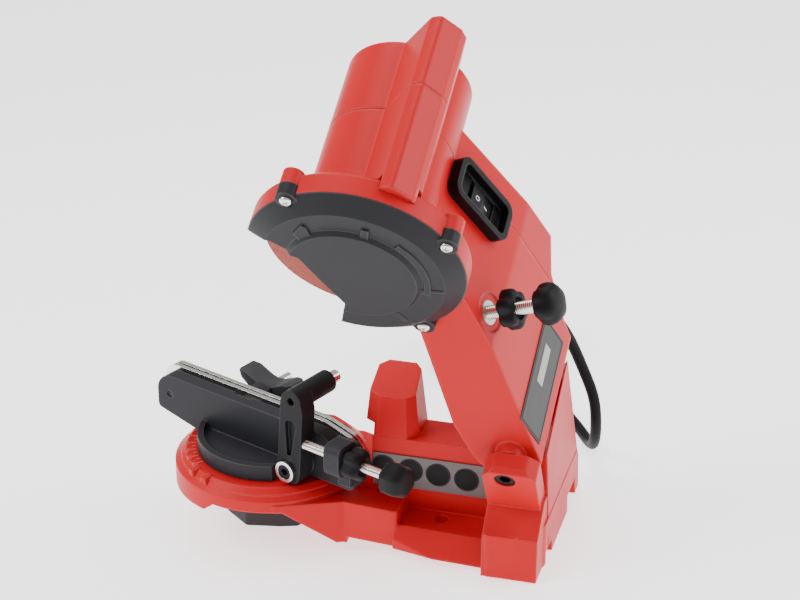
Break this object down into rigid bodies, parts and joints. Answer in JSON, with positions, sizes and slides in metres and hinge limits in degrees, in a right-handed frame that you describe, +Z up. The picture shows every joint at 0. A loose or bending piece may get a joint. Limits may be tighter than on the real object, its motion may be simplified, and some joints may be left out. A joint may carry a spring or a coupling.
{
  "type": "bench chainsaw sharpener",
  "caption": "Electric bench sharpener for saw chains: a tilted grinding head swings on a hinged arm over a swivelling chain vise with a stop lever, on a base that bolts to a bench edge.",
  "frame": {"origin": "midway between the two bench bolts, on the face that stands on the bench", "axes": "+Z up, away from the bench; +X along the base from the vise to the arm hinge; -Y towards the user, the side that the grinding wheel cover faces"},
  "size_m": [0.274, 0.3975, 0.3403],
  "materials": {
    "red_plastic": "satin moulded",
    "charcoal_plastic": "satin moulded",
    "black_plastic": "satin moulded",
    "grey_plastic": "satin moulded",
    "black_rubber": "matte",
    "bright_steel": "zinc plated",
    "dark_steel": "blackened",
    "brass": "turned",
    "copper": "turned",
    "label_grey": "printed film",
    "abrasive": "bonded grit"
  },
  "bodies": {
    "base": {"base_casting": "red_plastic", "hinge_bolt": "dark_steel", "hinge_nut": "dark_steel", "pictogram_strip": "label_grey", "cord_grommet": "black_rubber", "cord_tube": "black_rubber", "cord_coil": "black_rubber", "cord_plug": "black_rubber"},
    "arm": {"arm_housing": "red_plastic", "head_cap": "red_plastic", "guard_shell": "red_plastic", "wheel_cover": "charcoal_plastic", "cover_screw_1": "bright_steel", "cover_screw_2": "bright_steel", "cover_screw_3": "bright_steel", "motor_stator": "dark_steel", "front_bearing": "bright_steel", "rear_bearing": "bright_steel", "switch_frame": "black_plastic", "switch_body": "black_plastic", "depth_insert": "brass", "cord_gland": "black_rubber", "rating_plate": "label_grey"},
    "spindle": {"motor_shaft": "bright_steel", "rotor": "dark_steel", "commutator": "copper", "cooling_fan": "black_plastic", "inner_flange": "bright_steel", "outer_flange": "bright_steel", "grinding_wheel": "abrasive", "wheel_nut": "bright_steel"},
    "rocker": {"switch_rocker": "black_plastic"},
    "depth_screw": {"depth_screw": "bright_steel"},
    "depth_knob": {"depth_knob": "black_plastic"},
    "depth_lock": {"depth_lock_knob": "black_plastic"},
    "vise": {"turntable": "charcoal_plastic", "near_rail": "bright_steel", "clamp_screw": "bright_steel", "rail_screw": "dark_steel", "lever_bolt": "dark_steel", "lever_ring": "bright_steel"},
    "swivel_clamp": {"swivel_knob": "black_plastic", "swivel_stud": "bright_steel", "swivel_washer": "bright_steel"},
    "clamp_jaw": {"far_jaw": "charcoal_plastic", "far_rail": "bright_steel"},
    "clamp_knob": {"clamp_knob": "grey_plastic"},
    "lever": {"stop_lever": "black_plastic", "stop_pin": "bright_steel"},
    "adjust_screw": {"adjust_screw": "bright_steel"},
    "adjust_knob": {"adjust_knob": "black_plastic"},
    "adjust_lock": {"adjust_lock_knob": "black_plastic"}
  },
  "joints": [
    {"name": "head_swing", "type": "hinge", "parent": "base", "child": "arm", "pos_m": [0.0455, -0.0239, 0.08644], "axis": [0, -0.866, -0.5], "range_deg": [0, 35]},
    {"name": "wheel_spin", "type": "hinge", "parent": "arm", "child": "spindle", "pos_m": [-0.0312, -0.09445, 0.20864], "axis": [0, -0.866, -0.5], "continuous": true},
    {"name": "switch_tip", "type": "hinge", "parent": "arm", "child": "rocker", "pos_m": [0.01657, -0.0202, 0.21703], "axis": [0, -0.866, -0.5], "range_deg": [0, 6]},
    {"name": "depth_slide", "type": "slide", "parent": "arm", "child": "depth_screw", "axis": [0.9107, -0.2066, 0.3578], "range_m": [0, 0.005]},
    {"name": "depth_turn", "type": "hinge", "parent": "depth_screw", "child": "depth_knob", "pos_m": [0.0321, -0.04851, 0.16507], "axis": [0.9107, -0.2066, 0.3578], "range_deg": [0, 1440]},
    {"name": "depth_lock_turn", "type": "hinge", "parent": "arm", "child": "depth_lock", "pos_m": [0.0321, -0.04851, 0.16507], "axis": [0.9107, -0.2066, 0.3578], "continuous": true},
    {"name": "vise_swivel", "type": "hinge", "parent": "base", "child": "vise", "pos_m": [-0.115, 0, 0], "axis": [0, 0, 1], "range_deg": [-95, 0]},
    {"name": "swivel_clamp_turn", "type": "hinge", "parent": "base", "child": "swivel_clamp", "pos_m": [-0.115, 0, 0], "axis": [0, 0, 1], "continuous": true},
    {"name": "jaw_slide", "type": "slide", "parent": "vise", "child": "clamp_jaw", "axis": [0.3746, 0.9272, 0], "range_m": [0, 0.003]},
    {"name": "clamp_turn", "type": "hinge", "parent": "clamp_jaw", "child": "clamp_knob", "pos_m": [-0.13818, 0.00937, 0.0525], "axis": [0.3746, 0.9272, 0], "range_deg": [0, 1080]},
    {"name": "lever_swing", "type": "hinge", "parent": "vise", "child": "lever", "pos_m": [-0.08659, -0.0338, 0.0422], "axis": [-0.3746, -0.9272, 0], "range_deg": [0, 30]},
    {"name": "adjust_slide", "type": "slide", "parent": "vise", "child": "adjust_screw", "axis": [0.9272, -0.3746, 0], "range_m": [0, 0.012]},
    {"name": "adjust_turn", "type": "hinge", "parent": "adjust_screw", "child": "adjust_knob", "pos_m": [-0.12579, -0.0267, 0.0626], "axis": [0.9272, -0.3746, 0], "range_deg": [0, 4320]},
    {"name": "adjust_lock_turn", "type": "hinge", "parent": "vise", "child": "adjust_lock", "pos_m": [-0.12579, -0.0267, 0.0626], "axis": [0.9272, -0.3746, 0], "continuous": true}
  ],
  "couplings": [
    {"joint": "depth_turn", "follows": "depth_slide", "rad_per_m": 5026.5},
    {"joint": "clamp_turn", "follows": "jaw_slide", "rad_per_m": 6283.2},
    {"joint": "adjust_turn", "follows": "adjust_slide", "rad_per_m": 6283.2}
  ]
}
